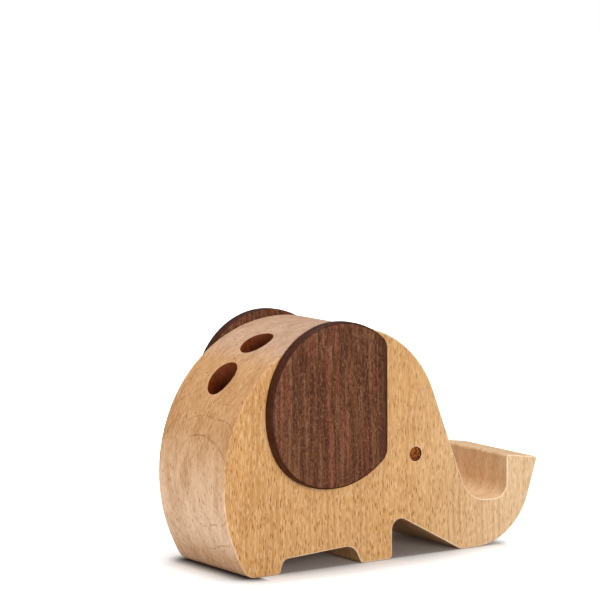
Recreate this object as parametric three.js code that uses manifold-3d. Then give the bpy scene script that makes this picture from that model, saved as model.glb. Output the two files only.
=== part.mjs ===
import * as THREE from 'three';
import { mergeVertices } from 'three/addons/utils/BufferGeometryUtils.js';
import Module from 'manifold-3d';

// Desk pen holder in the shape of an elephant: one thick wooden block sawn to the animal's side
// outline, two ears of darker wood glued to its flat sides, and a wooden plug for each eye.
// Millimetres. +Z is up, +X points at the trunk, and the block's thickness lies along Y.
// Distances along X start at the front face of the front leg.

// Block
const BLOCK_THICKNESS = 41;
const BLOCK_EDGE_ROUNDING = 0.8;

// Back of the block: three arcs, each running smoothly into the next.
// Their ends are directions in degrees, counted from +X towards +Z.
const RUMP_RADIUS = 53.4;
const RUMP_CENTRE_BEHIND_LEG = 14.3;
const RUMP_CENTRE_HEIGHT = 30.4;
const RUMP_ENDS_AT = 157.5;
const BACK_RADIUS = 48.4;
const BACK_ENDS_AT = 86;
const CROWN_RADIUS = 38;
const FOREHEAD_LEAN = 20.8;
const HEEL_ROUNDING = 5;

// Feet and the low arch between them
const FRONT_FOOT_LENGTH = 12.9;
const FOOT_CORNER_ROUNDING = 1.3;
const ARCH_LENGTH = 32.8;
const ARCH_REAR_HEIGHT = 4.8;
const ARCH_REAR_SLOPE = 1.6;
const ARCH_REAR_ROUNDING = 2.6;
const ARCH_FRONT_HEIGHT = 6.4;
const ARCH_FRONT_SLOPE = 3.1;
const ARCH_FRONT_ROUNDING = 5;

// Gap under the chin, between the front leg and the trunk
const CHIN_GAP_LENGTH = 28.9;
const CHIN_GAP_HEIGHT = 15.8;
const CHIN_GAP_ROUNDING = 3.5;

// Phone slot between the forehead and the trunk
const SLOT_LENGTH = 16.2;
const SLOT_FLOOR_HEIGHT = 16.4;
const SLOT_FOREHEAD_ROUNDING = 12;
const SLOT_TOE_ROUNDING = 4.6;

// Trunk
const TRUNK_TIP_LENGTH = 13.6;
const TRUNK_TIP_REAR_HEIGHT = 31.2;
const TRUNK_TIP_FRONT_HEIGHT = 29.2;
const TRUNK_TIP_ROUNDING = 1;
const TRUNK_OVERHANG = 9.4;
const TRUNK_SOLE_ROUNDING = 23.5;

// Pen bores, drilled one behind the other in the middle of the back
const PEN_BORE_DIAMETER = 12;
const PEN_BORE_DEPTH = 48;
const PEN_BORE_LEAN = 23;
const PEN_BORE_SPACING = 16.8;
const FRONT_BORE_MOUTH_BEHIND_LEG = 41.3;

// Ears: four arcs, each running smoothly into the next, cut off by a straight front edge.
// The top arc's centre places the ear, and the arcs' ends are directions as on the back.
const EAR_CENTRE_BEHIND_LEG = 23.7;
const EAR_CENTRE_HEIGHT = 56.1;
const EAR_TOP_RADIUS = 27;
const EAR_TOP_ENDS_AT = 150;
const EAR_REAR_RADIUS = 32.4;
const EAR_REAR_ENDS_AT = 201;
const EAR_LOBE_RADIUS = 22.3;
const EAR_LOBE_ENDS_AT = 256;
const EAR_UNDERSIDE_RADIUS = 30;
const EAR_FRONT_AHEAD_OF_CENTRE = 19.15;
const EAR_CORNER_ROUNDING = 5.6;
const EAR_THICKNESS = 4.2;
const EAR_EDGE_ROUNDING = 0.6;

// Eyes
const EYE_BORE_DIAMETER = 4.9;
const EYE_BORE_DEPTH = 6;
const EYE_AHEAD_OF_LEG = 9.7;
const EYE_HEIGHT = 35.1;
const EYE_RECESS = 0.4;
const EYE_CLEARANCE = 0.15;
const EYE_EDGE_ROUNDING = 0.3;

// How finely curves are divided: the largest gap between a curve and its straight steps
const CURVE_TOLERANCE = 0.02;
const FEWEST_ARC_STEPS = 3;
const EDGE_STEPS = 2;
const BORE_SIDES = 40;
const EYE_SIDES = 28;

// How far a cutting tool reaches past the surface that it cuts
const CUT_MARGIN = 8;

// Vertices closer together than this are one vertex
const MERGE_DISTANCE = 1e-4;

const wasm = await Module();
wasm.setup();

const radians = THREE.MathUtils.degToRad;

function toward(angle, length = 1) {
  return new THREE.Vector2(Math.cos(angle) * length, Math.sin(angle) * length);
}

// Points along an arc from one direction to another, both ends included.
function arcPoints(centre, radius, startAngle, endAngle) {
  const finestStep = 2 * Math.acos(1 - Math.min(CURVE_TOLERANCE / radius, 1));
  const steps = Math.max(FEWEST_ARC_STEPS, Math.ceil(Math.abs(endAngle - startAngle) / finestStep));
  const points = [];
  for (let i = 0; i <= steps; i += 1) {
    const angle = startAngle + ((endAngle - startAngle) * i) / steps;
    points.push(toward(angle, radius).add(centre));
  }
  return points;
}

// Round a corner where two straight sides meet.
function roundedCorner(before, tip, after, radius) {
  const toBefore = before.clone().sub(tip).normalize();
  const toAfter = after.clone().sub(tip).normalize();
  const halfAngle = Math.acos(THREE.MathUtils.clamp(toBefore.dot(toAfter), -1, 1)) / 2;
  const middle = toBefore.clone().add(toAfter).normalize();
  const centre = middle.multiplyScalar(radius / Math.sin(halfAngle)).add(tip);
  const tangentLength = radius / Math.tan(halfAngle);
  const start = toBefore.multiplyScalar(tangentLength).add(tip).sub(centre);
  const end = toAfter.multiplyScalar(tangentLength).add(tip).sub(centre);
  const startAngle = start.angle();
  let sweep = end.angle() - startAngle;
  if (sweep > Math.PI) sweep -= 2 * Math.PI;
  if (sweep < -Math.PI) sweep += 2 * Math.PI;
  return arcPoints(centre, radius, startAngle, startAngle + sweep);
}

// Follow straight sides through a list of corners, rounding each one that has a radius.
function roundedRun(corners) {
  const points = [];
  for (let i = 1; i < corners.length - 1; i += 1) {
    const { at, radius } = corners[i];
    points.push(...roundedCorner(corners[i - 1].at, at, corners[i + 1].at, radius));
  }
  return points;
}

function corner(x, z, radius = 0) {
  return { at: new THREE.Vector2(x, z), radius };
}

// Centres of the three arcs along the animal's back. Where two arcs meet, their centres and the
// meeting point lie on one line, so the curve has no kink.
const rumpCentre = new THREE.Vector2(-RUMP_CENTRE_BEHIND_LEG, RUMP_CENTRE_HEIGHT);
const rumpEnd = radians(RUMP_ENDS_AT);
const backEnd = radians(BACK_ENDS_AT);
const foreheadDirection = radians(FOREHEAD_LEAN);
const backCentre = toward(rumpEnd, RUMP_RADIUS - BACK_RADIUS).add(rumpCentre);
const crownCentre = toward(backEnd, BACK_RADIUS - CROWN_RADIUS).add(backCentre);
const foreheadTop = toward(foreheadDirection, CROWN_RADIUS).add(crownCentre);

// The heel is an arc that touches the ground and the rump from inside.
const heelCentre = new THREE.Vector2(
  rumpCentre.x - Math.sqrt((RUMP_RADIUS - HEEL_ROUNDING) ** 2 - (RUMP_CENTRE_HEIGHT - HEEL_ROUNDING) ** 2),
  HEEL_ROUNDING,
);
const rumpStart = heelCentre.clone().sub(rumpCentre).angle();

// The forehead runs straight down from the crown to the slot's floor, and the trunk stands past it.
const foreheadDrop = foreheadTop.y - SLOT_FLOOR_HEIGHT;
const foreheadFootX = foreheadTop.x + foreheadDrop * Math.tan(foreheadDirection);
const slotWallX = foreheadFootX + SLOT_LENGTH;
const trunkFrontX = slotWallX + TRUNK_TIP_LENGTH;

// Side outline, clockwise from the heel: over the back, down the forehead, round the slot and the
// trunk, then back along the ground.
function blockOutline() {
  const back = [
    ...arcPoints(heelCentre, HEEL_ROUNDING, -Math.PI / 2, rumpStart - 2 * Math.PI),
    ...arcPoints(rumpCentre, RUMP_RADIUS, rumpStart, rumpEnd).slice(1),
    ...arcPoints(backCentre, BACK_RADIUS, rumpEnd, backEnd).slice(1),
    ...arcPoints(crownCentre, CROWN_RADIUS, backEnd, foreheadDirection).slice(1),
  ];
  const archFrontX = -FRONT_FOOT_LENGTH;
  const archRearX = archFrontX - ARCH_LENGTH;
  const front = roundedRun([
    corner(foreheadTop.x, foreheadTop.y),
    corner(foreheadFootX, SLOT_FLOOR_HEIGHT, SLOT_FOREHEAD_ROUNDING),
    corner(slotWallX, SLOT_FLOOR_HEIGHT, SLOT_TOE_ROUNDING),
    corner(slotWallX, TRUNK_TIP_REAR_HEIGHT, TRUNK_TIP_ROUNDING),
    corner(trunkFrontX, TRUNK_TIP_FRONT_HEIGHT, TRUNK_TIP_ROUNDING),
    corner(trunkFrontX - TRUNK_OVERHANG, 0, TRUNK_SOLE_ROUNDING),
    corner(CHIN_GAP_LENGTH, 0, FOOT_CORNER_ROUNDING),
    corner(0, CHIN_GAP_HEIGHT, CHIN_GAP_ROUNDING),
    corner(0, 0, FOOT_CORNER_ROUNDING),
    corner(archFrontX, 0, FOOT_CORNER_ROUNDING),
    corner(archFrontX - ARCH_FRONT_SLOPE, ARCH_FRONT_HEIGHT, ARCH_FRONT_ROUNDING),
    corner(archRearX + ARCH_REAR_SLOPE, ARCH_REAR_HEIGHT, ARCH_REAR_ROUNDING),
    corner(archRearX, 0, FOOT_CORNER_ROUNDING),
    corner(heelCentre.x, 0),
  ]);
  return [...back, ...front];
}

// Centres of the ear's four arcs, from its top round its rear to its underside.
const earTopEnd = radians(EAR_TOP_ENDS_AT);
const earRearEnd = radians(EAR_REAR_ENDS_AT);
const earLobeEnd = radians(EAR_LOBE_ENDS_AT);
const earTopCentre = new THREE.Vector2(-EAR_CENTRE_BEHIND_LEG, EAR_CENTRE_HEIGHT);
const earRearCentre = toward(earTopEnd, EAR_TOP_RADIUS - EAR_REAR_RADIUS).add(earTopCentre);
const earLobeCentre = toward(earRearEnd, EAR_REAR_RADIUS - EAR_LOBE_RADIUS).add(earRearCentre);
const earUndersideCentre = toward(earLobeEnd, EAR_LOBE_RADIUS - EAR_UNDERSIDE_RADIUS)
  .add(earLobeCentre);

// How far the rounded corner between an arc and the ear's front edge lies above or below the arc's
// centre, as an angle.
function earCornerAngle(centre, radius) {
  const cornerX = earTopCentre.x + EAR_FRONT_AHEAD_OF_CENTRE - EAR_CORNER_ROUNDING;
  return Math.acos((cornerX - centre.x) / (radius - EAR_CORNER_ROUNDING));
}

// Ear outline: the four arcs, then the front edge with its corners rounded.
function earOutline() {
  const upperAngle = earCornerAngle(earTopCentre, EAR_TOP_RADIUS);
  const lowerAngle = -earCornerAngle(earUndersideCentre, EAR_UNDERSIDE_RADIUS);
  const upperCorner = toward(upperAngle, EAR_TOP_RADIUS - EAR_CORNER_ROUNDING).add(earTopCentre);
  const lowerCorner = toward(lowerAngle, EAR_UNDERSIDE_RADIUS - EAR_CORNER_ROUNDING)
    .add(earUndersideCentre);
  const undersideEnd = 2 * Math.PI + lowerAngle;
  return [
    ...arcPoints(earTopCentre, EAR_TOP_RADIUS, upperAngle, earTopEnd),
    ...arcPoints(earRearCentre, EAR_REAR_RADIUS, earTopEnd, earRearEnd).slice(1),
    ...arcPoints(earLobeCentre, EAR_LOBE_RADIUS, earRearEnd, earLobeEnd).slice(1),
    ...arcPoints(earUndersideCentre, EAR_UNDERSIDE_RADIUS, earLobeEnd, undersideEnd).slice(1),
    ...arcPoints(lowerCorner, EAR_CORNER_ROUNDING, lowerAngle, 0).slice(1),
    ...arcPoints(upperCorner, EAR_CORNER_ROUNDING, 0, upperAngle).slice(0, -1),
  ];
}

// Saw a board to a side outline and round both of its edges. The board's middle is at y = 0.
function sawnBoard(outline, thickness, edgeRounding) {
  const geometry = new THREE.ExtrudeGeometry(new THREE.Shape(outline), {
    depth: thickness - 2 * edgeRounding,
    bevelEnabled: true,
    bevelThickness: edgeRounding,
    bevelSize: edgeRounding,
    bevelOffset: -edgeRounding,
    bevelSegments: EDGE_STEPS,
  });
  geometry.translate(0, 0, edgeRounding - thickness / 2);
  geometry.rotateX(Math.PI / 2);
  return geometry;
}

// A round tool standing on its lower end at the origin, leaning back by an angle.
function roundTool(diameter, length, lean, sides) {
  const geometry = new THREE.CylinderGeometry(diameter / 2, diameter / 2, length, sides);
  geometry.rotateX(Math.PI / 2);
  geometry.translate(0, 0, length / 2);
  geometry.rotateY(-lean);
  return geometry;
}

function toSolid(geometry) {
  const bare = geometry.clone();
  bare.deleteAttribute('normal');
  bare.deleteAttribute('uv');
  const merged = mergeVertices(bare, MERGE_DISTANCE);
  return new wasm.Manifold(new wasm.Mesh({
    numProp: 3,
    vertProperties: Float32Array.from(merged.attributes.position.array),
    triVerts: Uint32Array.from(merged.index.array),
  }));
}

function toGeometry(solid) {
  const { vertProperties, triVerts } = solid.getMesh();
  const geometry = new THREE.BufferGeometry();
  geometry.setAttribute('position', new THREE.BufferAttribute(vertProperties, 3));
  geometry.setIndex(new THREE.BufferAttribute(triVerts, 1));
  geometry.computeVertexNormals();
  return geometry;
}

// Height of the block's back above a place along X, on the arc between the rump and the crown.
function backHeight(x) {
  return backCentre.y + Math.sqrt(BACK_RADIUS ** 2 - (x - backCentre.x) ** 2);
}

// Each bore's tool starts at the bore's bottom and reaches out past the mouth. Both bores lean
// alike, and the rear one lies one spacing away, square to their length.
function penBoreTools() {
  const lean = radians(PEN_BORE_LEAN);
  const axis = new THREE.Vector2(-Math.sin(lean), Math.cos(lean));
  const mouthX = -FRONT_BORE_MOUTH_BEHIND_LEG;
  const frontMouth = new THREE.Vector2(mouthX, backHeight(mouthX));
  const square = new THREE.Vector2(-axis.y, axis.x);
  const besideFront = square.multiplyScalar(PEN_BORE_SPACING).add(frontMouth);
  const rearMouth = boreMouth(besideFront, axis);
  return [frontMouth, rearMouth].map((mouth) => {
    const bottom = axis.clone().multiplyScalar(-PEN_BORE_DEPTH).add(mouth);
    const tool = roundTool(PEN_BORE_DIAMETER, PEN_BORE_DEPTH + CUT_MARGIN, lean, BORE_SIDES);
    tool.translate(bottom.x, 0, bottom.y);
    return tool;
  });
}

// Where a line through a point, in a bore's direction, comes out through the arc of the back.
function boreMouth(point, axis) {
  const fromCentre = point.clone().sub(backCentre);
  const along = fromCentre.dot(axis);
  const outward = Math.sqrt(along ** 2 - fromCentre.lengthSq() + BACK_RADIUS ** 2) - along;
  return axis.clone().multiplyScalar(outward).add(point);
}

// Both eye bores are drilled in from the block's sides.
function eyeBoreTool(side) {
  const tool = new THREE.CylinderGeometry(
    EYE_BORE_DIAMETER / 2, EYE_BORE_DIAMETER / 2, EYE_BORE_DEPTH + CUT_MARGIN, EYE_SIDES,
  );
  const bottomY = BLOCK_THICKNESS / 2 - EYE_BORE_DEPTH;
  tool.translate(EYE_AHEAD_OF_LEG, side * (bottomY + (EYE_BORE_DEPTH + CUT_MARGIN) / 2), EYE_HEIGHT);
  return tool;
}

function blockGeometry() {
  let solid = toSolid(sawnBoard(blockOutline(), BLOCK_THICKNESS, BLOCK_EDGE_ROUNDING));
  for (const tool of [...penBoreTools(), eyeBoreTool(-1), eyeBoreTool(1)]) {
    solid = solid.subtract(toSolid(tool));
  }
  return toGeometry(solid);
}

// The ear is sawn thicker than it is seen, and what would lie inside the block is planed away, so
// that only its outer edge is rounded and its inner face is flat against the block.
function earGeometry(side) {
  const boardThickness = EAR_THICKNESS + 2 * EAR_EDGE_ROUNDING;
  const board = sawnBoard(earOutline(), boardThickness, EAR_EDGE_ROUNDING);
  const outerFaceY = BLOCK_THICKNESS / 2 + EAR_THICKNESS;
  board.translate(0, side * (outerFaceY - boardThickness / 2), 0);
  const planedLength = 2 * (EAR_UNDERSIDE_RADIUS + CUT_MARGIN);
  const planed = new THREE.BoxGeometry(planedLength, BLOCK_THICKNESS, planedLength);
  planed.translate(-EAR_CENTRE_BEHIND_LEG, 0, EAR_CENTRE_HEIGHT);
  return toGeometry(toSolid(board).subtract(toSolid(planed)));
}

// A turned plug with a softened front edge. It stands on its inner end and points along +Y.
function eyeGeometry() {
  const radius = EYE_BORE_DIAMETER / 2 - EYE_CLEARANCE;
  const length = EYE_BORE_DEPTH - EYE_RECESS;
  const profile = [
    new THREE.Vector2(0, 0),
    new THREE.Vector2(radius, 0),
    new THREE.Vector2(radius, length - EYE_EDGE_ROUNDING),
    new THREE.Vector2(radius - EYE_EDGE_ROUNDING, length),
    new THREE.Vector2(0, length),
  ];
  return new THREE.LatheGeometry(profile, EYE_SIDES);
}

function beech() {
  return new THREE.MeshStandardMaterial({ color: 0xdeb278, roughness: 0.62, metalness: 0 });
}

function walnut() {
  return new THREE.MeshStandardMaterial({ color: 0x764e3e, roughness: 0.55, metalness: 0 });
}

function darkPlug() {
  return new THREE.MeshStandardMaterial({ color: 0x80492a, roughness: 0.6, metalness: 0 });
}

function named(name, geometry, material) {
  const mesh = new THREE.Mesh(geometry, material);
  mesh.name = name;
  return mesh;
}

function eye(name, side) {
  const mesh = named(name, eyeGeometry(), darkPlug());
  mesh.position.set(EYE_AHEAD_OF_LEG, side * (BLOCK_THICKNESS / 2 - EYE_BORE_DEPTH), EYE_HEIGHT);
  mesh.rotation.z = side > 0 ? 0 : Math.PI;
  return mesh;
}

// The whole holder, moved so that the middle of its length is at x = 0.
const holder = new THREE.Group();
holder.add(
  named('body_block', blockGeometry(), beech()),
  named('right_ear', earGeometry(-1), walnut()),
  named('left_ear', earGeometry(1), walnut()),
  eye('right_eye', -1),
  eye('left_eye', 1),
);
const outlineExtent = new THREE.Box2().setFromPoints(blockOutline());
holder.position.x = -outlineExtent.getCenter(new THREE.Vector2()).x;

export default holder;
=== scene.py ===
import math

import bmesh
import bpy
from bpy.props import FloatProperty, FloatVectorProperty, IntProperty, PointerProperty
from mathutils import Matrix, Vector


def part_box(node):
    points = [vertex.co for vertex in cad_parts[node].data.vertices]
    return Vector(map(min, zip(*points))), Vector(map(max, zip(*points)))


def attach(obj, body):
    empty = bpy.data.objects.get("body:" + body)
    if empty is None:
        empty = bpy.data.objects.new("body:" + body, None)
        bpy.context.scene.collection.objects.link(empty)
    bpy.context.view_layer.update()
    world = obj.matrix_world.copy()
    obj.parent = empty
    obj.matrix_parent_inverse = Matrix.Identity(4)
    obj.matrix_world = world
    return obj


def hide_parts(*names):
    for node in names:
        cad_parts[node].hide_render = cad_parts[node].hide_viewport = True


bl_info = {
    "name": "Elephant Pen Holder",
    "version": (1, 0, 0),
    "blender": (4, 5, 0),
    "location": "View3D > Sidebar > Pen Holder",
    "description": "Beech pen holder in the outline of an elephant, with walnut ears",
    "category": "Object",
}

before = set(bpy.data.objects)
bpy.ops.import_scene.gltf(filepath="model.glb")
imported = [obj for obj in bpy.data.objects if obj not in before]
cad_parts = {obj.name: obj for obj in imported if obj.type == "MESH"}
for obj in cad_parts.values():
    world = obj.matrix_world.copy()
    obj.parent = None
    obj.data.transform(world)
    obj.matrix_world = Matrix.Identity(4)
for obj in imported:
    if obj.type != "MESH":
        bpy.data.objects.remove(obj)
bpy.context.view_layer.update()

MM = 0.001

# Vertices closer together than this are one vertex.
MERGE_DISTANCE = 0.002 * MM

# Corners of an outline that are flatter than this are dropped, and no edge of it is shorter than
# this, so that the rounding along it keeps its full radius.
FLATTEST_CORNER = math.radians(0.3)
SHORTEST_EDGE = 0.05 * MM

# The block's outline is cut from its CAD node here, between the pen bores and the right eye's bore.
BLOCK_CUT_Y = -13.113 * MM

# An ear's outline is cut from its CAD node at this share of its thickness, counted from the block.
EAR_CUT = 0.25

# A drill stands this far out of the wood.
DRILL_OVERRUN = 8 * MM

# The bores' walls have the second material in the block's list.
WALL_MATERIAL = 1

# Vertices of a bore's rim closer together than this are merged before the rim is rounded.
SHORTEST_RIM_EDGE = 0.12 * MM

# Turns that lay the grain of the block and of the ears almost upright
BEECH_TURN = (math.radians(1.0), math.radians(-0.8), 0)
WALNUT_TURN = (math.radians(0.5), math.radians(1.0), 0)

# Place of the upright heart that the block's growth rings lie around, far behind the holder, in
# millimetres
HEART_X = -130.7
HEART_Y = -8.0

# Distance from ring to ring, and how far the rings sway, in millimetres
RING_SPACING = 2.5
RING_SWAY = 4.5

# Height of the middle of the nested arcs that the rings draw on the rump, in millimetres
ARCS_HEIGHT = 30.0

# How far the walnut's streaks sway, and over what length an ear darkens towards its straight front
# edge, in millimetres
STREAK_SWAY = 3.5
EAR_FRONT_SHADE = 3.4

# Sidewaysness of the line along a rounded edge that is worn the most and given the most painted
# highlight
WORN_AND_LIT_LINE = 0.80

# The rectangle of floor that the holder stands on, round which the floor's painted shade and glow
# are laid: its middle and half its size
FOOTPRINT_MIDDLE = (-7 * MM, 0, 0)
FOOTPRINT_HALF = (45.5 * MM, 18.5 * MM, 0)

# The lamps' names, which are also those of the settings with their power, and their places and
# diameters in metres. Each lamp points at the origin.
LAMPS = (
    ("front_lamp", (-0.17, -0.96, 0.17), 0.6),
    ("rump_lamp", (-0.82, 0.12, 0.36), 0.6),
    ("top_lamp", (0.05, 0.10, 1.10), 0.8),
)

# The square picture's side in pixels, and the camera's sensor in millimetres
PICTURE_SIDE = 600
SENSOR_WIDTH = 36

# The point that the camera is aimed by, and the column and row where it stands in the picture
AIM = Vector((3.26 * MM, 0, 45 * MM))
AIM_COLUMN = 358.59
AIM_ROW = 419.99


def srgb(red, green, blue):
    """A colour seen on a screen, 0 to 255 a channel, as the linear values that Blender keeps."""
    def linear(level):
        level /= 255
        return level / 12.92 if level <= 0.04045 else ((level + 0.055) / 1.055) ** 2.4
    return (linear(red), linear(green), linear(blue))


# Sizes and colours that a user would change


def length(name, description, millimetres):
    return FloatProperty(
        name=name, description=description, default=millimetres * MM,
        min=0, unit="LENGTH", precision=5)


def angle(name, description, degrees):
    return FloatProperty(
        name=name, description=description, default=math.radians(degrees), unit="ROTATION")


def count(name, description, default):
    return IntProperty(name=name, description=description, default=default, min=1)


def watts(name, description, power):
    return FloatProperty(name=name, description=description, default=power, min=0, unit="POWER")


def tone(name, description, red, green, blue):
    return FloatVectorProperty(
        name=name, description=description, default=srgb(red, green, blue),
        size=3, min=0, max=1, subtype="COLOR")


class BlockSizes(bpy.types.PropertyGroup):
    edge_rounding: length("Edge rounding", "Radius sanded onto the block's outer edges", 0.55)
    edge_steps: count("Edge steps", "Faces across a rounded edge", 6)
    pen_bore_diameter: length("Pen bore", "Diameter of both pen bores", 12)
    pen_bore_depth: length("Pen bore depth", "Length of a pen bore along its middle", 48)
    pen_bore_lean: angle("Pen bore lean", "How far the pen bores lean back", 23)
    pen_bore_rim: length("Pen bore rim", "Radius sanded onto the mouths of the pen bores", 0.45)
    front_bore_x: length("Front bore", "How far the front bore's mouth is behind the middle", 38.34)
    front_bore_z: length("Front bore height", "Height of the front bore's mouth", 75.23)
    rear_bore_x: length("Rear bore", "How far the rear bore's mouth is behind the middle", 52.06)
    rear_bore_z: length("Rear bore height", "Height of the rear bore's mouth", 64.55)
    eye_bore_diameter: length("Eye bore", "Diameter of the bores that hold the eyes", 4.9)
    eye_bore_depth: length("Eye bore depth", "Depth of the bores that hold the eyes", 6)
    eye_bore_rim: length("Eye bore rim", "Radius sanded onto the mouths of the eye bores", 0.25)
    bore_sides: count("Bore sides", "Faces around a bore", 72)
    rim_steps: count("Rim steps", "Faces across a bore's rounded rim", 4)


class EarSizes(bpy.types.PropertyGroup):
    outer_rounding: length("Outer rounding", "Radius on the ear's outer edge", 1.0)
    inner_rounding: length("Inner rounding", "Radius on the ear's edge against the block", 0.35)
    edge_steps: count("Edge steps", "Faces across a rounded edge", 6)


class EyeSizes(bpy.types.PropertyGroup):
    edge_rounding: length("Edge rounding", "Radius on the plug's outer end", 0.3)
    edge_steps: count("Edge steps", "Faces across the rounded end", 4)
    sides: count("Sides", "Faces around a plug", 64)


class WoodLook(bpy.types.PropertyGroup):
    beech: tone("Beech", "Sawn sides of the block", 215, 165, 108)
    # Painted shade: the block's sides are darker towards the rump.
    beech_rear_shaded: tone("Beech rear", "Sawn sides of the block near the rump", 205, 154, 96)
    beech_cross: tone("Beech across", "Back, top and underside of the block", 202, 152, 102)
    # Painted light: the rump is paler low down, where light thrown up from the floor falls on it.
    beech_floor_lit: tone("Beech pale", "Pale stretch low on the rump", 241, 205, 172)
    # Painted shade: the rump is darker and warmer where it bends under to the ground.
    beech_heel_shade: tone("Beech heel", "Painted shade where the rump bends to the ground", 230, 184, 144)
    # Painted sheen: the top of the back is greyer and paler.
    beech_crown_sheen: tone("Beech crown", "Greyish stretch at the top of the back", 200, 162, 135)
    # Painted light: the block is paler and brighter towards the trunk's tip.
    beech_tip_lit: tone("Beech tip", "Painted light at the trunk's tip", 236, 201, 159)
    beech_grain: tone("Beech grain", "Darkening of the rays, rings and fibres", 186, 158, 126)
    beech_fleck: tone("Beech flecks", "Pale flecks between the fibres", 255, 226, 186)
    # Partly wear and partly a painted highlight along the block's edges
    worn_edge_and_highlight: tone("Worn, highlit edge", "Pale line along the block's edges", 255, 236, 206)
    # Partly the drilled walls' own tone, partly painted shade deep in the bores
    drilled_and_shaded: tone("Drilled, shaded beech", "Darkening of the walls of the bores", 146, 92, 62)
    walnut: tone("Walnut", "Face of the ears", 105, 63, 38)
    walnut_dark: tone("Walnut dark", "Dark streaks in the ears", 62, 32, 18)
    walnut_red: tone("Walnut red", "Reddish streaks in the ears", 128, 64, 46)
    walnut_pale: tone("Walnut pale", "Pale streaks in the ears", 146, 104, 80)
    walnut_rim: tone("Walnut rim", "Sawn edge of the ears", 54, 20, 5)
    plug: tone("Eye plug", "End grain of the eye plugs", 156, 87, 27)
    plug_grain: tone("Eye plug grain", "Darkening of the eye plugs' mottles", 150, 116, 90)


class StageLook(bpy.types.PropertyGroup):
    floor_size: length("Floor", "Side of the square floor", 6000)
    floor: tone("Floor colour", "Colour of the floor", 246, 246, 246)
    # Painted shade on the floor under the holder, and a painted shadow where the rump meets it
    floor_painted_shade: tone("Floor shade between feet", "Colour of the floor under the holder", 202, 194, 188)
    floor_painted_heel_shadow: tone("Floor shadow at heel", "Colour of the floor where the rump meets it", 72, 62, 56)
    floor_bounce: tone("Floor bounce", "Colour of the light from the floor", 172, 170, 168)
    even_light: FloatProperty(
        name="Even light", description="Strength of the light from all round", default=0.33, min=0)
    front_lamp: watts("Front lamp", "Power of the lamp before the holder's right side", 7.9)
    rump_lamp: watts("Rump lamp", "Power of the lamp behind the rump", 1.9)
    top_lamp: watts("Top lamp", "Power of the lamp above the holder", 7.6)
    lens: FloatProperty(
        name="Lens", description="Focal length of the camera", default=193.4, min=1, unit="CAMERA")
    camera_azimuth: angle("Camera azimuth", "Turn of the camera about the holder", -33.90)
    camera_elevation: angle("Camera elevation", "Height of the camera above the holder", 6.82)
    camera_roll: angle("Camera roll", "Turn of the camera about its own line of sight", -0.28)
    camera_distance: length("Camera distance", "From the camera to the point it aims by", 1105.3)


# Small tools for materials


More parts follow.
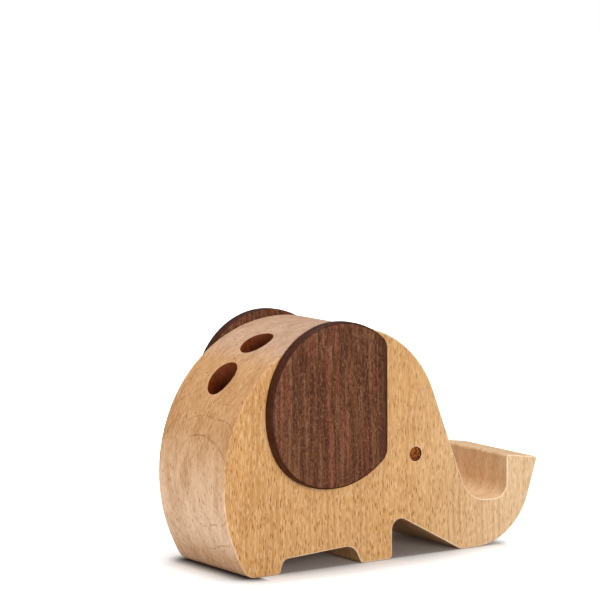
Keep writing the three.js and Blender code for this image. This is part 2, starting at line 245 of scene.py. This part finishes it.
class Nodes:
    """Adds shader nodes to one material and links them by the names of their sockets."""

    def __init__(self, name):
        self.material = bpy.data.materials.new(name)
        self.material.use_nodes = True
        self.tree = self.material.node_tree
        self.tree.nodes.clear()

    def add(self, kind, inputs=None, **settings):
        """Adds a node of a kind with these settings, and feeds its inputs."""
        made = self.tree.nodes.new("ShaderNode" + kind)
        for setting, value in settings.items():
            setattr(made, setting, value)
        for socket, value in (inputs or {}).items():
            self.feed(made.inputs[socket], value)
        return made

    def feed(self, socket, value):
        """Links a socket to another node's output, or gives it a number, a vector or a colour."""
        if isinstance(value, bpy.types.NodeSocket):
            self.tree.links.new(value, socket)
        elif socket.type == "RGBA":
            socket.default_value = (*value, 1)
        else:
            socket.default_value = value

    def maths(self, operation, first, second=0.0, third=0.0):
        """The number that a Math node's operation gives."""
        made = self.add("Math", {0: first, 1: second, 2: third}, operation=operation)
        return made.outputs[0]

    def times(self, first, second):
        """The product of two numbers."""
        return self.maths("MULTIPLY", first, second)

    def ramp(self, value, low, high, start, end):
        """Takes low to high, smoothly, as the value runs from start to end."""
        made = self.add("MapRange", {
            "Value": value, "From Min": start, "From Max": end, "To Min": low, "To Max": high,
        }, interpolation_type="SMOOTHSTEP")
        return made.outputs["Result"]

    def between(self, amount, first, second):
        """Runs from the first number to the second as the amount goes from 0 to 1."""
        made = self.add("Mix", data_type="FLOAT")
        self.feed(made.inputs[0], amount)
        self.feed(made.inputs[2], first)
        self.feed(made.inputs[3], second)
        return made.outputs[0]

    def blend(self, amount, first, second, mode="MIX"):
        """Runs from the first colour to the second as the amount goes from 0 to 1."""
        made = self.add("Mix", data_type="RGBA", blend_type=mode)
        self.feed(made.inputs[0], amount)
        self.feed(made.inputs[6], first)
        self.feed(made.inputs[7], second)
        return made.outputs[2]

    def layer(self, amount, depth, under, over):
        """Lays one colour over another, as much as the amount times the depth says."""
        return self.blend(self.times(amount, depth), under, over)

    def vectors(self, operation, first, second=(0, 0, 0)):
        """The vector that a Vector Math node's operation gives."""
        made = self.add("VectorMath", {0: first, 1: second}, operation=operation)
        return made.outputs["Vector"]

    def length_of(self, vector):
        """The vector's length."""
        return self.add("VectorMath", {0: vector}, operation="LENGTH").outputs["Value"]

    def parts(self, vector):
        """The vector's X, Y and Z."""
        made = self.add("SeparateXYZ", {0: vector})
        return made.outputs["X"], made.outputs["Y"], made.outputs["Z"]

    def joined(self, x, y, z=0.0):
        """The vector of an X, a Y and a Z."""
        return self.add("CombineXYZ", {"X": x, "Y": y, "Z": z}).outputs["Vector"]

    def stretched(self, vector, scale, offset):
        """The vector scaled along X, Y and Z, and then moved by the offset."""
        made = self.add("Mapping", {"Vector": vector, "Scale": scale, "Location": offset})
        return made.outputs["Vector"]

    def noise(self, vector, scale, detail=2.0, roughness=0.5, offset=(0, 0, 0)):
        """Soft noise, whose scale is in waves per millimetre along X, Y and Z."""
        made = self.add("TexNoise", {
            "Vector": self.stretched(vector, scale, offset), "Scale": 1.0,
            "Detail": detail, "Roughness": roughness,
        })
        return made.outputs["Fac"]

    def lenses(self, vector, cell, size, offset=(0, 0, 0)):
        """Lenses strewn one to a cell, on a ground of 0.

        A cell's three sides are in millimetres, and a lens' size is a share of its cell.
        """
        scale = [1 / side for side in cell]
        cells = self.add("TexVoronoi", {
            "Vector": self.stretched(vector, scale, offset), "Scale": 1.0,
        }).outputs
        inside = self.ramp(cells["Distance"], 1.0, 0.0, 0.45 * size, size)
        depth = self.ramp(cells["Color"], 0.25, 1.0, 0.3, 0.7)
        return self.times(inside, depth)

    def bump(self, height, strength, distance):
        """The surface's normal, tilted as if the height stood out of it."""
        made = self.add("Bump", {"Height": height, "Strength": strength, "Distance": distance})
        return made.outputs["Normal"]

    def cover(self, shader):
        """Makes a shader the material's surface."""
        self.add("OutputMaterial", {"Surface": shader.outputs[0]})
        return self.material

    def finish(self, **sockets):
        """Makes a shader with these values and colours in its sockets the material's surface."""
        inputs = {name.replace("_", " "): value for name, value in sockets.items()}
        return self.cover(self.add("BsdfPrincipled", inputs))


def grain_space(nodes, turn):
    """Place in the wood in millimetres: X across the growth rings, Y along them, Z up the grain."""
    place = nodes.add("TexCoord").outputs["Object"]
    scaled = nodes.add("VectorMath", {0: place, "Scale": 1 / MM}, operation="SCALE")
    turned = nodes.add("Mapping", {"Vector": scaled.outputs["Vector"], "Rotation": turn})
    return turned.outputs["Vector"]


def sidewaysness(nodes):
    """1 on the flat sides of a board, 0 on every surface that runs across its thickness."""
    _, sideways, _ = nodes.parts(nodes.add("TexCoord").outputs["Normal"])
    return nodes.times(sideways, sideways)


def across_sides(nodes):
    """0 on the flat sides of a board, 1 on all that runs across it and most of its edges' round."""
    return nodes.ramp(sidewaysness(nodes), 1.0, 0.0, 0.70, 0.98)


def edge_wear_and_highlight(nodes):
    """For wear and a painted highlight: 1 on the part of a rounded edge that still faces sideways,
    0 on the flats and across.
    """
    off_line = nodes.maths("ABSOLUTE", nodes.maths("SUBTRACT", sidewaysness(nodes), WORN_AND_LIT_LINE))
    return nodes.ramp(off_line, 1.0, 0.0, 0.08, 0.19)


# Materials


def growth_rings(nodes, place, across, on_rump):
    """Soft upright stripes on the block's sides, and thin nested arcs on its rump."""
    x, y, z = nodes.parts(place)
    from_heart = nodes.joined(
        nodes.maths("SUBTRACT", x, HEART_X), nodes.maths("SUBTRACT", y, HEART_Y))
    sway = nodes.noise(place, (0.03, 0.05, 0.03), detail=0.6)
    swayed = nodes.maths("MULTIPLY_ADD", sway, RING_SWAY, nodes.length_of(from_heart))
    ring = nodes.maths("FRACT", nodes.times(swayed, 1 / RING_SPACING))
    off_ring = nodes.maths("PINGPONG", ring, 0.5)

    wide_ring = nodes.ramp(off_ring, 1.0, 0.0, 0.05, 0.35)
    wide_fade = nodes.noise(place, (0.16, 0.05, 0.02), offset=(7, 3, 1))
    side_rings = nodes.times(wide_ring, nodes.ramp(wide_fade, 0.0, 1.0, 0.35, 0.65))

    thin_ring = nodes.ramp(off_ring, 1.0, 0.0, 0.015, 0.06)
    thin_fade = nodes.noise(place, (0.2, 0.22, 0.16), offset=(1, 6, 2))
    off_middle = nodes.maths("ABSOLUTE", nodes.maths("SUBTRACT", z, ARCS_HEIGHT))
    outside_middle = nodes.ramp(off_middle, 0.3, 1.0, 3.0, 14.0)
    near_middle = nodes.ramp(off_middle, 1.0, 0.0, 20.0, 34.0)
    arcs = nodes.times(on_rump, nodes.times(outside_middle, near_middle))
    arcs = nodes.times(nodes.ramp(thin_fade, 0.1, 1.0, 0.38, 0.56), arcs)
    back_rings = nodes.times(thin_ring, arcs)

    return nodes.between(across, side_rings, back_rings)


def beech_ground(nodes, look, place, mottle, across, on_rump):
    """The block's colour under its grain: painted shade at the rear and heel, painted light low on
    the rump, and a painted sheen on the crown.
    """
    x, _, z = nodes.parts(place)
    # Painted shade: the sides darken towards the rump.
    shaded_rear = nodes.ramp(x, 1.0, 0.0, -56.0, -30.0)
    side = nodes.blend(shaded_rear, look.beech, look.beech_rear_shaded)

    # Painted light from the floor, paler low on the rump, with a wavy upper bound.
    warm_height = nodes.maths("MULTIPLY_ADD", mottle, 30.0, z)
    floor_lit_low = nodes.times(nodes.ramp(warm_height, 1.0, 0.0, 24.0, 66.0), on_rump)
    # Painted shade where the rump bends under to the ground
    at_heel = nodes.times(nodes.ramp(z, 0.9, 0.0, 4.0, 11.0), on_rump)
    # Painted sheen on the top of the back
    on_crown = nodes.ramp(z, 0.0, 1.0, 66.0, 76.0)
    back = nodes.blend(floor_lit_low, look.beech_cross, look.beech_floor_lit)
    back = nodes.blend(at_heel, back, look.beech_heel_shade)
    back = nodes.blend(on_crown, back, look.beech_crown_sheen)

    return nodes.blend(across, side, back)


def beech_wood(look, name, drilled_and_shaded=False):
    """Beech for the block, or for the walls of its bores, which are darkened partly by their
    drilled tone and partly by painted shade.
    """
    nodes = Nodes(name)
    place = grain_space(nodes, BEECH_TURN)
    x, _, _ = nodes.parts(place)
    across = across_sides(nodes)
    on_rump = nodes.ramp(x, 1.0, 0.0, -45.0, -10.0)
    at_tip = nodes.ramp(x, 0.0, 1.0, 3.0, 65.0)

    rings = growth_rings(nodes, place, across, on_rump)

    # Rays: thin lenses that stand along the grain. The sides show them as short upright dashes, and
    # the back as finer specks that follow its curve.
    side_dash = nodes.lenses(place, (0.78, 6.0, 3.3), 0.38)
    back_dash = nodes.lenses(place, (2.6, 0.9, 3.6), 0.29, offset=(0, 5, 8))
    dash = nodes.between(across, side_dash, back_dash)

    # Pale flecks and dark fibres along the grain
    side_fleck = nodes.noise(place, (2.9, 0.3, 0.40), detail=1.0)
    back_fleck = nodes.noise(place, (0.25, 2.2, 0.4), detail=1.0, offset=(4, 4, 0))
    side_fleck = nodes.ramp(side_fleck, 1.0, 0.0, 0.34, 0.50)
    back_fleck = nodes.ramp(back_fleck, 0.7, 0.0, 0.34, 0.52)
    fleck = nodes.between(across, side_fleck, back_fleck)
    side_fibres = nodes.noise(place, (2.9, 2.0, 0.36), roughness=0.7, offset=(6, 0, 3))
    back_fibres = nodes.noise(place, (0.2, 1.9, 0.5), roughness=0.7, offset=(0, 2, 0))
    fibres = nodes.between(across, side_fibres, back_fibres)

    mottle = nodes.noise(place, (0.12, 0.2, 0.06), offset=(2, 9, 4))
    ground = beech_ground(nodes, look, place, mottle, across, on_rump)
    # Painted light: paler towards the trunk's tip
    ground = nodes.blend(at_tip, ground, look.beech_tip_lit)
    dark = nodes.blend(1.0, ground, look.beech_grain, mode="MULTIPLY")
    pale = nodes.blend(0.5, ground, look.beech_fleck)

    mottle_depth = nodes.between(across, 0.12, 0.25)
    fibre_depth = nodes.between(across, 0.42, 0.45)
    ring_depth = nodes.between(across, 0.34, 0.52)
    dash_depth = nodes.between(at_tip, 1.0, 0.5)
    colour = nodes.blend(nodes.ramp(mottle, 0.0, mottle_depth, 0.4, 0.65), ground, dark)
    colour = nodes.layer(nodes.ramp(fibres, 0.0, 1.0, 0.45, 0.72), fibre_depth, colour, dark)
    colour = nodes.layer(fleck, 0.55, colour, pale)
    colour = nodes.layer(rings, ring_depth, colour, dark)
    colour = nodes.layer(dash, dash_depth, colour, dark)
    # The bores' walls darken: partly their drilled tone, partly painted shade of the bores' depth.
    if drilled_and_shaded:
        colour = nodes.blend(1.0, colour, look.drilled_and_shaded, mode="MULTIPLY")
    else:
        # A pale line along the edges, partly wear and partly a painted highlight, fading out
        # towards the rump
        worn_and_lit_front = nodes.ramp(x, 0.0, 0.85, -46.0, -36.0)
        colour = nodes.layer(edge_wear_and_highlight(nodes), worn_and_lit_front, colour, look.worn_edge_and_highlight)

    height = nodes.maths("MULTIPLY_ADD", dash, -0.6, nodes.times(fibres, 0.5))
    height = nodes.maths("MULTIPLY_ADD", rings, -0.4, height)
    return nodes.finish(
        Base_Color=colour, Roughness=nodes.ramp(mottle, 0.48, 0.62, 0.3, 0.7),
        Normal=nodes.bump(height, 0.25, 0.05 * MM), Specular_IOR_Level=0.15)


def walnut_wood(look, name, front_x):
    """Walnut that darkens towards the ear's straight front edge, which lies at front_x."""
    nodes = Nodes(name)
    place = grain_space(nodes, WALNUT_TURN)
    x, y, z = nodes.parts(place)
    sway = nodes.noise(place, (0.05, 0.03, 0.03))
    swayed = nodes.joined(nodes.maths("MULTIPLY_ADD", sway, STREAK_SWAY, x), y, z)

    bands = nodes.noise(swayed, (0.28, 0.12, 0.012), roughness=0.6)
    red = nodes.noise(swayed, (0.42, 0.1, 0.03), detail=1.0, offset=(11, 4, 6))
    streaks = nodes.noise(swayed, (0.95, 0.5, 0.05), detail=1.0, roughness=0.6, offset=(3, 1, 0))
    flecks = nodes.noise(swayed, (1.35, 0.8, 0.30), detail=1.0, roughness=0.6, offset=(5, 0, 2))
    fine = nodes.noise(swayed, (2.2, 1.4, 0.85), roughness=0.7, offset=(8, 0, 5))
    pores = nodes.lenses(swayed, (0.8, 3.0, 3.2), 0.30, offset=(1, 7, 2))

    colour = look.walnut
    for pattern, low, high, start, end, over in (
        (bands, 0.0, 0.30, 0.42, 0.65, look.walnut_dark),
        (red, 0.0, 0.50, 0.52, 0.68, look.walnut_red),
        (streaks, 0.0, 0.68, 0.50, 0.66, look.walnut_dark),
        (streaks, 0.40, 0.0, 0.34, 0.48, look.walnut_pale),
        (flecks, 0.0, 0.60, 0.50, 0.68, look.walnut_dark),
        (fine, 0.0, 0.56, 0.50, 0.70, look.walnut_dark),
        (fine, 0.60, 0.0, 0.30, 0.50, look.walnut_pale),
    ):
        colour = nodes.blend(nodes.ramp(pattern, low, high, start, end), colour, over)
    colour = nodes.layer(pores, 0.8, colour, look.walnut_dark)
    front = front_x / MM
    by_front = nodes.ramp(x, 0.0, 0.75, front - EAR_FRONT_SHADE, front)
    colour = nodes.blend(by_front, colour, look.walnut_dark)
    colour = nodes.layer(across_sides(nodes), 0.85, colour, look.walnut_rim)

    height = nodes.maths("MULTIPLY_ADD", pores, -1.0, nodes.times(fine, 0.5))
    return nodes.finish(
        Base_Color=colour, Roughness=nodes.ramp(streaks, 0.42, 0.54, 0.3, 0.7),
        Normal=nodes.bump(height, 0.3, 0.06 * MM), Specular_IOR_Level=0.12)


def plug_wood(look, name):
    """Dark reddish wood whose end grain shows."""
    nodes = Nodes(name)
    place = grain_space(nodes, (0, 0, 0))
    mottle = nodes.noise(place, (1.2, 1.2, 1.2), detail=3.0)
    pores = nodes.ramp(nodes.noise(place, (5, 5, 5), detail=1.0), 0.0, 1.0, 0.58, 0.7)
    dark = nodes.blend(1.0, look.plug, look.plug_grain, mode="MULTIPLY")
    colour = nodes.blend(nodes.ramp(mottle, 0.0, 1.0, 0.42, 0.6), look.plug, dark)
    colour = nodes.layer(pores, 0.4, colour, look.walnut_dark)
    return nodes.finish(
        Base_Color=colour, Roughness=0.55,
        Normal=nodes.bump(pores, 0.3, -0.05 * MM), Specular_IOR_Level=0.2)


def floor_paint(look, name):
    """A floor that the camera sees as white, with painted shade under the holder and round its
    heel, and a painted glow away from the holder.
    """
    nodes = Nodes(name)
    seen = nodes.add("LightPath").outputs["Is Camera Ray"]
    place = nodes.add("TexCoord").outputs["Object"]
    x, _, _ = nodes.parts(place)

    centred = nodes.vectors("SUBTRACT", place, FOOTPRINT_MIDDLE)
    mirrored = nodes.vectors("ABSOLUTE", centred)
    past_sides = nodes.vectors("SUBTRACT", mirrored, FOOTPRINT_HALF)
    away = nodes.length_of(nodes.vectors("MAXIMUM", past_sides, (0, 0, 0)))

    # Painted shade under the holder and a painted shadow round the heel
    under = nodes.ramp(away, 1.0, 0.0, 0, 3 * MM)
    at_heel = nodes.ramp(x, 1.0, 0.0, -52 * MM, -50 * MM)
    painted_heel_shadow = nodes.times(at_heel, nodes.ramp(away, 1.0, 0.0, 2 * MM, 10 * MM))
    colour = nodes.blend(under, look.floor, look.floor_painted_shade)
    colour = nodes.blend(painted_heel_shadow, colour, look.floor_painted_heel_shadow)
    behind = nodes.ramp(x, 1.0, 0.0, -100 * MM, -50 * MM)
    bounce = nodes.blend(behind, look.floor_bounce, look.floor)
    matte = nodes.add("BsdfDiffuse", {"Color": nodes.blend(seen, bounce, colour)})

    # Painted light: the floor glows white to the camera away from the holder and past the trunk,
    # washing out the shadows cast there.
    before_trunk = nodes.ramp(x, 0.0, 1.0, 46 * MM, 58 * MM)
    painted_glow = nodes.maths("MAXIMUM", nodes.ramp(away, 0.0, 1.0, 0, 50 * MM), before_trunk)
    white = nodes.add("Emission", {"Color": (1, 1, 1), "Strength": nodes.times(seen, painted_glow)})
    return nodes.cover(nodes.add("AddShader", {0: matte.outputs[0], 1: white.outputs[0]}))


# Small tools for meshes


def outline_of(node, cut_y):
    """A bmesh with the closed outline where a plane across y cuts a CAD node."""
    cut = bmesh.new()
    cut.from_mesh(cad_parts[node].data)
    bmesh.ops.remove_doubles(cut, verts=cut.verts, dist=MERGE_DISTANCE)
    found = bmesh.ops.bisect_plane(
        cut, geom=[*cut.verts, *cut.edges, *cut.faces], dist=MERGE_DISTANCE,
        plane_co=(0, cut_y, 0), plane_no=(0, 1, 0))
    outline = {part for part in found["geom_cut"] if isinstance(part, bmesh.types.BMVert)}
    bmesh.ops.delete(cut, geom=[v for v in cut.verts if v not in outline], context="VERTS")
    bmesh.ops.dissolve_limit(cut, angle_limit=FLATTEST_CORNER, verts=cut.verts, edges=cut.edges)
    bmesh.ops.remove_doubles(cut, verts=cut.verts, dist=SHORTEST_EDGE)
    return cut


def board(node, cut_y, first_y, last_y):
    """A bmesh of a board with a CAD node's outline, from one flat side to the other."""
    made = outline_of(node, cut_y)
    bmesh.ops.translate(made, verts=made.verts, vec=(0, first_y - cut_y, 0))
    bmesh.ops.contextual_create(made, geom=made.edges)
    extruded = bmesh.ops.extrude_face_region(made, geom=made.faces[:])
    moving = [part for part in extruded["geom"] if isinstance(part, bmesh.types.BMVert)]
    bmesh.ops.translate(made, verts=moving, vec=(0, last_y - first_y, 0))
    bmesh.ops.recalc_face_normals(made, faces=made.faces)
    return made


def cylinder(diameter, height, sides, place):
    """A bmesh of a cylinder that stands on a place, given as a matrix, and runs along its Z."""
    made = bmesh.new()
    bmesh.ops.create_cone(
        made, cap_ends=True, segments=sides, radius1=diameter / 2, radius2=diameter / 2,
        depth=height, matrix=place @ Matrix.Translation((0, 0, height / 2)))
    return made


def facing_out(place, side):
    """A matrix at a place with its Z pointing out of the holder's right (-1) or left (1) side."""
    return Matrix.Translation(place) @ Matrix.Rotation(-side * math.pi / 2, 4, "X")


def edges_at(made, y):
    """The edges of a bmesh that lie in the plane at y."""
    return [
        edge for edge in made.edges
        if all(abs(v.co.y - y) < MERGE_DISTANCE for v in edge.verts)
    ]


def round_edges(made, edges, radius, steps):
    """Rounds edges of a bmesh to a radius, with so many faces across each."""
    bmesh.ops.bevel(
        made, geom=edges, offset=radius, offset_type="OFFSET", segments=steps,
        affect="EDGES", profile=0.5, material=-1, clamp_overlap=True)


def finished(made, name, materials):
    """Makes a bmesh an object at the origin, shaded smoothly."""
    mesh = bpy.data.meshes.new(name)
    made.to_mesh(mesh)
    made.free()
    mesh.shade_smooth()
    for material in materials:
        mesh.materials.append(material)
    piece = bpy.data.objects.new(name, mesh)
    bpy.context.scene.collection.objects.link(piece)
    return piece


def keep_flats_flat(piece):
    """Turns the smooth shading so that large flat faces look flat."""
    weighting = piece.modifiers.new("Keep flats flat", "WEIGHTED_NORMAL")
    weighting.mode = "FACE_AREA"
    weighting.weight = 100
    weighting.keep_sharp = True


def cut_out(piece, tools):
    """Cuts tools out of a piece. The tools' material stays on the walls that they cut."""
    for tool in tools:
        cut = piece.modifiers.new(tool.name, "BOOLEAN")
        cut.operation = "DIFFERENCE"
        cut.solver = "EXACT"
        cut.object = tool
        cut.material_mode = "TRANSFER"
    bpy.context.view_layer.update()
    graph = bpy.context.evaluated_depsgraph_get()
    mesh = bpy.data.meshes.new_from_object(piece.evaluated_get(graph))
    piece.modifiers.clear()
    piece.data = mesh
    for tool in tools:
        bpy.data.objects.remove(tool)


def round_rims(piece, radius, steps, wanted):
    """Rounds the rims of the bores, at the places where wanted(place) says so."""
    made = bmesh.new()
    made.from_mesh(piece.data)

    def rims():
        found = []
        for edge in made.edges:
            materials = {face.material_index for face in edge.link_faces}
            on_rim = len(materials) == 2 and WALL_MATERIAL in materials
            if on_rim and all(wanted(v.co) for v in edge.verts):
                found.append(edge)
        return found

    rim_vertices = list(dict.fromkeys(v for edge in rims() for v in edge.verts))
    bmesh.ops.remove_doubles(made, verts=rim_vertices, dist=SHORTEST_RIM_EDGE)
    round_edges(made, rims(), radius, steps)
    made.to_mesh(piece.data)
    made.free()
    piece.data.shade_smooth()


# Operators, one for the stage and one for each piece or pair of pieces


class PENHOLDER_OT_stage(bpy.types.Operator):
    """Lay the white floor, hang the lamps and set the camera"""

    bl_idname = "penholder.stage"
    bl_label = "Stage"

    def execute(self, context):
        scene = context.scene
        look = scene.pen_stage
        self.lay_floor(look)
        self.light_world(look, scene)
        self.hang_lamps(look, scene)
        self.set_camera(look, scene)
        scene.view_settings.view_transform = "Standard"
        return {"FINISHED"}

    def lay_floor(self, look):
        """A square floor that the holder stands on."""
        made = bmesh.new()
        bmesh.ops.create_grid(made, x_segments=1, y_segments=1, size=look.floor_size / 2)
        floor = finished(made, "floor", [floor_paint(look, "white_floor")])

    def light_world(self, look, scene):
        """White wherever the camera looks, and a weak even light on the holder."""
        world = bpy.data.worlds.new("studio")
        scene.world = world
        world.use_nodes = True
        tree = world.node_tree
        background = tree.nodes["Background"]
        background.inputs["Color"].default_value = (1, 1, 1, 1)
        path = tree.nodes.new("ShaderNodeLightPath")
        seen = tree.nodes.new("ShaderNodeMix")
        tree.links.new(path.outputs["Is Camera Ray"], seen.inputs[0])
        seen.inputs[2].default_value = look.even_light
        seen.inputs[3].default_value = 1.0
        tree.links.new(seen.outputs[0], background.inputs["Strength"])

    def hang_lamps(self, look, scene):
        """Round lamps that point at the holder, and that the camera doesn't see."""
        for name, place, diameter in LAMPS:
            lamp = bpy.data.lights.new(name, "AREA")
            lamp.shape = "DISK"
            lamp.size = diameter
            lamp.energy = getattr(look, name)
            hung = bpy.data.objects.new(name, lamp)
            hung.location = place
            hung.rotation_euler = Vector(place).to_track_quat("Z", "Y").to_euler()
            hung.visible_camera = False
            scene.collection.objects.link(hung)

    def set_camera(self, look, scene):
        """A camera that sees the aim point at its column and row in the picture."""
        data = bpy.data.cameras.new("camera")
        data.lens = look.lens
        data.sensor_width = SENSOR_WIDTH
        data.sensor_fit = "HORIZONTAL"
        data.clip_start = 0.01
        data.clip_end = 20

        azimuth, elevation, roll = look.camera_azimuth, look.camera_elevation, look.camera_roll
        back = Vector((
            math.sin(azimuth) * math.cos(elevation),
            -math.cos(azimuth) * math.cos(elevation),
            math.sin(elevation)))
        level_right = Vector((0, 0, 1)).cross(back).normalized()
        level_up = back.cross(level_right)
        right = math.cos(roll) * level_right + math.sin(roll) * level_up
        up = -math.sin(roll) * level_right + math.cos(roll) * level_up

        focal = look.lens / data.sensor_width * PICTURE_SIDE
        distance = look.camera_distance
        place = (
            AIM + back * distance
            - right * ((AIM_COLUMN - PICTURE_SIDE / 2) / focal * distance)
            + up * ((AIM_ROW - PICTURE_SIDE / 2) / focal * distance))
        camera = bpy.data.objects.new("camera", data)
        camera.matrix_world = Matrix((
            (right.x, up.x, back.x, place.x),
            (right.y, up.y, back.y, place.y),
            (right.z, up.z, back.z, place.z),
            (0, 0, 0, 1)))
        scene.collection.objects.link(camera)
        scene.camera = camera


class PENHOLDER_OT_block(bpy.types.Operator):
    """Saw the beech block, round its edges and drill it"""

    bl_idname = "penholder.block"
    bl_label = "Beech Block"

    def execute(self, context):
        sizes = context.scene.pen_block
        look = context.scene.pen_wood
        low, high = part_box("body_block")
        wood = beech_wood(look, "beech")
        shaded_bore_wood = beech_wood(look, "beech_bore", drilled_and_shaded=True)

        made = board("body_block", BLOCK_CUT_Y, low.y, high.y)
        edges = edges_at(made, low.y) + edges_at(made, high.y)
        round_edges(made, edges, sizes.edge_rounding, sizes.edge_steps)
        block = finished(made, "beech_block", [wood, shaded_bore_wood])
        cut_out(block, self.pen_drills(sizes, shaded_bore_wood) + self.eye_drills(sizes, shaded_bore_wood, high.y))

        eye_rims_from = high.y - 1.5 * sizes.eye_bore_rim
        round_rims(block, sizes.pen_bore_rim, sizes.rim_steps,
                   lambda place: abs(place.y) < eye_rims_from)
        round_rims(block, sizes.eye_bore_rim, sizes.rim_steps,
                   lambda place: abs(place.y) >= eye_rims_from)
        keep_flats_flat(block)
        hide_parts("body_block")
        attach(block, "root")
        return {"FINISHED"}

    def pen_drills(self, sizes, shaded_bore_wood):
        """Two leaning drills that stand on the bottoms of the pen bores."""
        lean = Matrix.Rotation(-sizes.pen_bore_lean, 4, "Y")
        drills = []
        for name, x, z in (
            ("front_pen_drill", -sizes.front_bore_x, sizes.front_bore_z),
            ("rear_pen_drill", -sizes.rear_bore_x, sizes.rear_bore_z),
        ):
            mouth = Matrix.Translation((x, 0, z)) @ lean
            bottom = mouth @ Matrix.Translation((0, 0, -sizes.pen_bore_depth))
            drill = cylinder(sizes.pen_bore_diameter, sizes.pen_bore_depth + DRILL_OVERRUN,
                             sizes.bore_sides, bottom)
            drills.append(finished(drill, name, [shaded_bore_wood]))
        return drills

    def eye_drills(self, sizes, shaded_bore_wood, side_y):
        """Two level drills, one from each side, whose ends reach the bottoms of the eye bores."""
        drills = []
        for node, side in (("right_eye", -1), ("left_eye", 1)):
            eye_low, eye_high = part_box(node)
            middle = (eye_low + eye_high) / 2
            bottom = Vector((middle.x, side * (side_y - sizes.eye_bore_depth), middle.z))
            drill = cylinder(sizes.eye_bore_diameter, sizes.eye_bore_depth + DRILL_OVERRUN,
                             sizes.bore_sides, facing_out(bottom, side))
            drills.append(finished(drill, "eye_drill", [shaded_bore_wood]))
        return drills


class PENHOLDER_OT_ears(bpy.types.Operator):
    """Saw both walnut ears and round their edges"""

    bl_idname = "penholder.ears"
    bl_label = "Walnut Ears"

    def execute(self, context):
        sizes = context.scene.pen_ears
        look = context.scene.pen_wood
        wood = walnut_wood(look, "walnut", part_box("right_ear")[1].x)
        for node in ("right_ear", "left_ear"):
            low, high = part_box(node)
            inner_y, outer_y = sorted((low.y, high.y), key=abs)
            cut_y = inner_y + (outer_y - inner_y) * EAR_CUT
            made = board(node, cut_y, inner_y, outer_y)
            round_edges(made, edges_at(made, outer_y), sizes.outer_rounding, sizes.edge_steps)
            round_edges(made, edges_at(made, inner_y), sizes.inner_rounding, sizes.edge_steps)
            ear = finished(made, node.replace("ear", "walnut_ear"), [wood])
            keep_flats_flat(ear)
            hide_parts(node)
            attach(ear, "root")
        return {"FINISHED"}


class PENHOLDER_OT_eyes(bpy.types.Operator):
    """Turn the two plugs that stand for the eyes"""

    bl_idname = "penholder.eyes"
    bl_label = "Eye Plugs"

    def execute(self, context):
        sizes = context.scene.pen_eyes
        look = context.scene.pen_wood
        wood = plug_wood(look, "eye_plug_wood")
        for node, side in (("right_eye", -1), ("left_eye", 1)):
            low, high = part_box(node)
            middle = (low + high) / 2
            inner_y, outer_y = sorted((low.y, high.y), key=abs)
            inner_end = facing_out((middle.x, inner_y, middle.z), side)
            made = cylinder(high.x - low.x, high.y - low.y, sizes.sides, inner_end)
            round_edges(made, edges_at(made, outer_y), sizes.edge_rounding, sizes.edge_steps)
            plug = finished(made, node.replace("eye", "eye_plug"), [wood])
            keep_flats_flat(plug)
            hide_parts(node)
            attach(plug, "root")
        return {"FINISHED"}


class PENHOLDER_PT_panel(bpy.types.Panel):
    """Lists the holder's pieces, sizes and colours"""

    bl_label = "Pen Holder"
    bl_idname = "PENHOLDER_PT_panel"
    bl_space_type = "VIEW_3D"
    bl_region_type = "UI"
    bl_category = "Pen Holder"

    def draw(self, context):
        for operator in OPERATORS:
            self.layout.operator(operator.bl_idname)
        for group in GROUPS:
            box = self.layout.box()
            box.label(text=group)
            settings = getattr(context.scene, group)
            for name in GROUPS[group].__annotations__:
                box.prop(settings, name)


GROUPS = {
    "pen_block": BlockSizes,
    "pen_ears": EarSizes,
    "pen_eyes": EyeSizes,
    "pen_wood": WoodLook,
    "pen_stage": StageLook,
}
OPERATORS = (PENHOLDER_OT_stage, PENHOLDER_OT_block, PENHOLDER_OT_ears, PENHOLDER_OT_eyes)
CLASSES = (*GROUPS.values(), *OPERATORS, PENHOLDER_PT_panel)


def register():
    for made in CLASSES:
        bpy.utils.register_class(made)
    for name, group in GROUPS.items():
        setattr(bpy.types.Scene, name, PointerProperty(type=group))


def unregister():
    for name in GROUPS:
        delattr(bpy.types.Scene, name)
    for made in reversed(CLASSES):
        bpy.utils.unregister_class(made)


def main():
    register()
    bpy.ops.penholder.stage()
    bpy.ops.penholder.block()
    bpy.ops.penholder.ears()
    bpy.ops.penholder.eyes()


if __name__ == "__main__":
    main()
